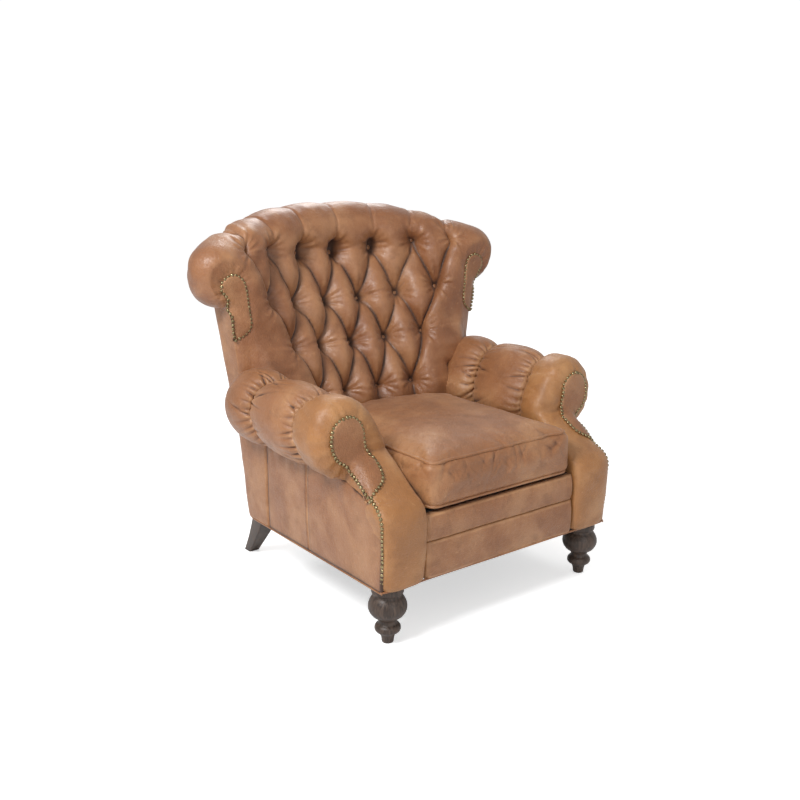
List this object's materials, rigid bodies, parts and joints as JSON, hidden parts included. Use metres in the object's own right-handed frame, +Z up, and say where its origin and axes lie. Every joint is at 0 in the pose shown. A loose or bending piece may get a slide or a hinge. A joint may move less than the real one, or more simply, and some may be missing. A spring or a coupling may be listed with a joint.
{
  "type": "upholstered armchair",
  "caption": "Leather armchair with a buttoned rolled wing back, gathered rolled arms, loose seat cushion, turned front legs and raked rear legs.",
  "frame": {"origin": "on the floor, under the middle of the chair's box", "axes": "+Z up, the chair faces -Y, +X to the sitter's left"},
  "size_m": [1.0734, 0.95, 1.0458],
  "materials": {
    "hardwood": "rough-sawn, unfinished, hidden",
    "spring_steel": "black spring wire, hidden",
    "lining_cloth": "black non-woven cloth",
    "cushion_foam": "cushion foam in its wrap, hidden",
    "leather": "distressed tan leather, satin",
    "ruched_leather": "distressed tan leather, gathered, satin",
    "pilaster_leather": "distressed golden tan leather, satin",
    "antique_brass": "antique brass nail heads",
    "walnut": "dark stained walnut, satin"
  },
  "bodies": {
    "chair": {"front_rail": "hardwood", "rear_rail": "hardwood", "side_rail_left": "hardwood", "side_rail_right": "hardwood", "pilaster_block_left": "hardwood", "pilaster_block_right": "hardwood", "arm_post_left": "hardwood", "arm_post_right": "hardwood", "arm_rail_left": "hardwood", "arm_rail_right": "hardwood", "back_post_left": "hardwood", "back_post_right": "hardwood", "crest_rail": "hardwood", "lower_back_rail": "hardwood", "corner_block_left": "hardwood", "corner_block_right": "hardwood", "seat_spring_1": "spring_steel", "seat_spring_2": "spring_steel", "seat_spring_3": "spring_steel", "seat_spring_4": "spring_steel", "seat_deck": "lining_cloth", "dust_cover": "lining_cloth", "back_webbing": "lining_cloth", "tufted_back_pad": "leather", "top_roll": "leather", "wing_pad_left": "leather", "wing_pad_right": "leather", "wing_facing_left": "leather", "wing_facing_right": "leather", "arm_facing_left": "leather", "arm_facing_right": "leather", "inner_arm_panel_left": "leather", "inner_arm_panel_right": "leather", "outside_arm_panel_left": "leather", "outside_arm_panel_right": "leather", "outside_wing_left": "leather", "outside_wing_right": "leather", "outside_back": "leather", "front_panel": "leather", "lip_band": "leather", "arm_puff_front_left": "ruched_leather", "arm_puff_front_right": "ruched_leather", "arm_puff_middle_left": "ruched_leather", "arm_puff_middle_right": "ruched_leather", "arm_puff_rear_left": "ruched_leather", "arm_puff_rear_right": "ruched_leather", "pilaster_pad_left": "pilaster_leather", "pilaster_pad_right": "pilaster_leather", "wing_nail_trim_left": "antique_brass", "wing_nail_trim_right": "antique_brass", "arm_nail_trim_left": "antique_brass", "arm_nail_trim_right": "antique_brass", "pilaster_nail_trim_left": "antique_brass", "pilaster_nail_trim_right": "antique_brass", "front_leg_left": "walnut", "front_leg_right": "walnut", "rear_leg_left": "walnut", "rear_leg_right": "walnut"},
    "seat_cushion": {"cushion_casing": "leather", "cushion_core": "cushion_foam"}
  },
  "joints": [
    {"name": "seat_cushion_lift", "type": "slide", "parent": "chair", "child": "seat_cushion", "axis": [0, 0, 1], "range_m": [0, 0.35]}
  ]
}
